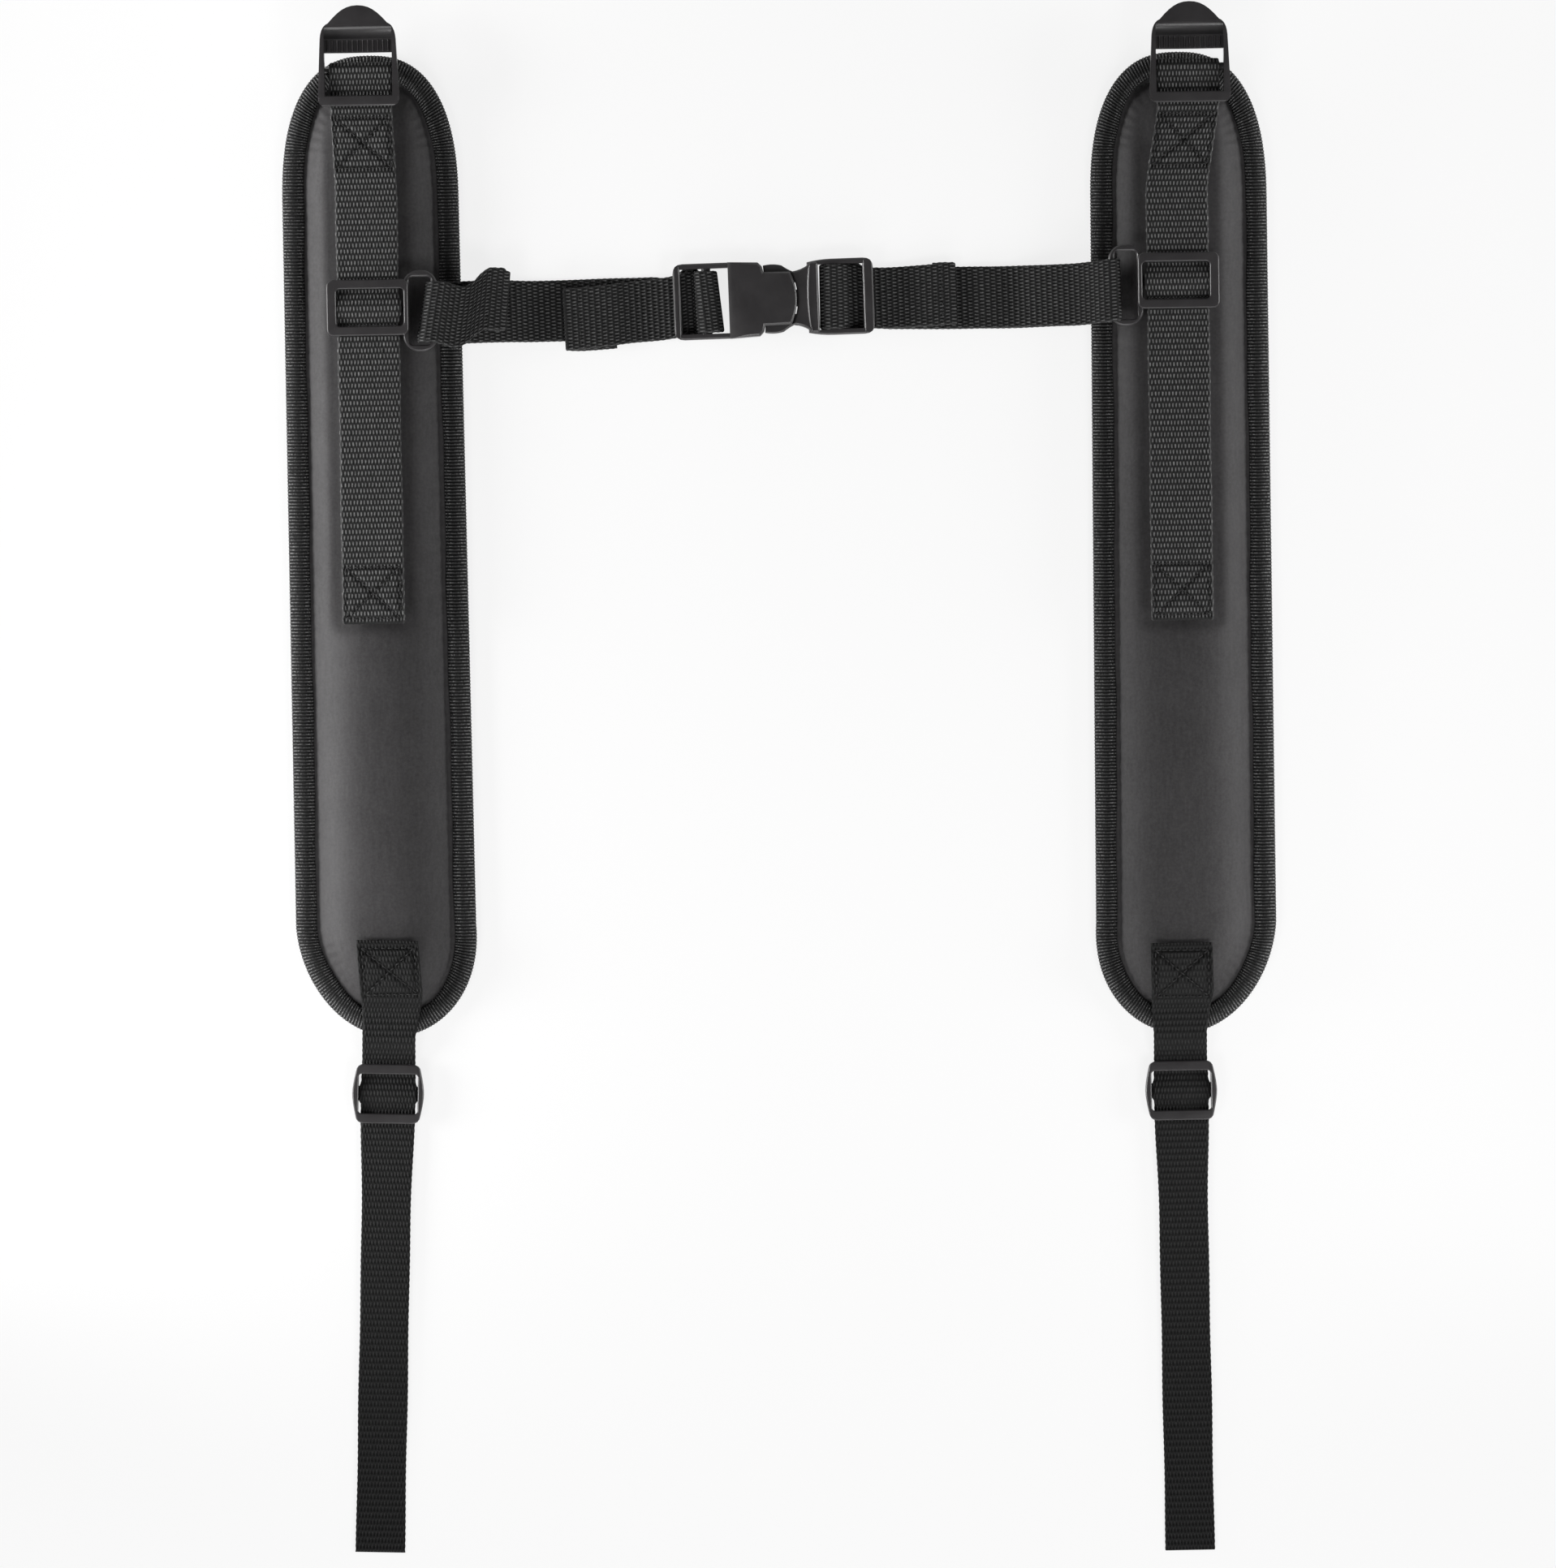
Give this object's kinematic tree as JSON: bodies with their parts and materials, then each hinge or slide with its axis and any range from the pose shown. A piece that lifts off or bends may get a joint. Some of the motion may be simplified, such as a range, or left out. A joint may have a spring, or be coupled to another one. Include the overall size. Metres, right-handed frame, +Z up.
{
  "type": "padded shoulder harness",
  "caption": "Padded shoulder harness for carrying a machine on the back: bound foam pads, a sliding chest strap with a side-release buckle, ladder-locks and lower straps.",
  "frame": {"origin": "middle of the bounding box, on the surface that the harness lies on", "axes": "+Y runs along the pads to the shoulder end, +X to the right across the chest strap, +Z up out of the pads' faces"},
  "size_m": [0.3913, 0.6103, 0.0206],
  "materials": {
    "pad_foam": "closed-cell foam, matte",
    "face_cloth": "satin charcoal polyester cloth",
    "lining_cloth": "open spacer mesh",
    "binding_tape": "ribbed woven tape",
    "webbing": "woven polypropylene webbing",
    "strap_webbing": "cross-ribbed woven webbing",
    "moulded_plastic": "satin moulded acetal"
  },
  "bodies": {
    "left_pad": {"left_foam_core": "pad_foam", "left_face_fabric": "face_cloth", "left_lining": "lining_cloth", "left_edge_binding": "binding_tape", "left_face_webbing": "webbing", "left_lower_anchor": "webbing"},
    "left_lock": {"left_top_loop": "webbing", "left_ladder_lock": "moulded_plastic"},
    "left_strap": {"left_lower_strap": "strap_webbing"},
    "left_glide": {"left_tri_glide": "moulded_plastic"},
    "left_slide": {"left_slider": "moulded_plastic"},
    "chest_left": {"left_chest_webbing": "webbing", "female_buckle": "moulded_plastic"},
    "chest_right": {"right_chest_webbing": "webbing", "male_buckle": "moulded_plastic"},
    "upper_arm": {"upper_spring_arm": "moulded_plastic"},
    "lower_arm": {"lower_spring_arm": "moulded_plastic"},
    "right_slide": {"right_slider": "moulded_plastic"},
    "right_pad": {"right_foam_core": "pad_foam", "right_face_fabric": "face_cloth", "right_lining": "lining_cloth", "right_edge_binding": "binding_tape", "right_face_webbing": "webbing", "right_lower_anchor": "webbing"},
    "right_lock": {"right_top_loop": "webbing", "right_ladder_lock": "moulded_plastic"},
    "right_strap": {"right_lower_strap": "strap_webbing"},
    "right_glide": {"right_tri_glide": "moulded_plastic"}
  },
  "joints": [
    {"name": "left_lock_fold", "type": "hinge", "parent": "left_pad", "child": "left_lock", "pos_m": [-0.16238, 0.26197, 0.0174], "axis": [0.9998, 0.0183, 0], "range_deg": [0, 100]},
    {"name": "left_strap_swing", "type": "hinge", "parent": "left_pad", "child": "left_strap", "pos_m": [-0.15431, -0.10194, 0.0065], "axis": [-0.9998, 0.0175, 0], "range_deg": [0, 110]},
    {"name": "left_glide_slide", "type": "slide", "parent": "left_strap", "child": "left_glide", "axis": [-0.0175, -0.9998, 0], "range_m": [0, 0.15]},
    {"name": "left_sternum_slide", "type": "slide", "parent": "left_pad", "child": "left_slide", "axis": [-0.0183, 0.9998, 0], "range_m": [-0.085, 0.026]},
    {"name": "left_chest_swing", "type": "hinge", "parent": "left_slide", "child": "chest_left", "pos_m": [-0.13604, 0.18354, 0.0156], "axis": [0.0183, -0.9998, 0], "range_deg": [0, 90]},
    {"name": "buckle_release", "type": "slide", "parent": "chest_left", "child": "chest_right", "axis": [0.9993, 0.0374, 0], "range_m": [0, 0.03], "deforming": ["upper_spring_arm", "lower_spring_arm"]},
    {"name": "upper_arm_squeeze", "type": "hinge", "parent": "chest_right", "child": "upper_arm", "pos_m": [0.00613, 0.19706, 0.005], "axis": [0, 0, 1], "range_deg": [0, 7.2], "stiffness_Nm_per_rad": 0.05},
    {"name": "lower_arm_squeeze", "type": "hinge", "parent": "chest_right", "child": "lower_arm", "pos_m": [0.00675, 0.18067, 0.005], "axis": [0, 0, -1], "range_deg": [0, 7.2], "stiffness_Nm_per_rad": 0.05},
    {"name": "right_chest_swing", "type": "hinge", "parent": "chest_right", "child": "right_slide", "pos_m": [0.13054, 0.19351, 0.0156], "axis": [0.014, -0.9999, 0], "range_deg": [0, 60]},
    {"name": "right_sternum_slide", "type": "slide", "parent": "right_slide", "child": "right_pad", "axis": [-0.014, 0.9999, 0], "range_m": [-0.026, 0.085]},
    {"name": "right_lock_fold", "type": "hinge", "parent": "right_pad", "child": "right_lock", "pos_m": [0.15686, 0.26348, 0.0174], "axis": [0.9999, 0.014, 0], "range_deg": [0, 100]},
    {"name": "right_strap_swing", "type": "hinge", "parent": "right_pad", "child": "right_strap", "pos_m": [0.15795, -0.10054, 0.0065], "axis": [-0.9998, -0.0201, 0], "range_deg": [0, 110]},
    {"name": "right_glide_slide", "type": "slide", "parent": "right_strap", "child": "right_glide", "axis": [0.0201, -0.9998, 0], "range_m": [0, 0.15]}
  ],
  "couplings": [
    {"joint": "right_sternum_slide", "follows": "left_sternum_slide", "ratio": -1},
    {"joint": "lower_arm_squeeze", "follows": "upper_arm_squeeze", "ratio": 1}
  ]
}
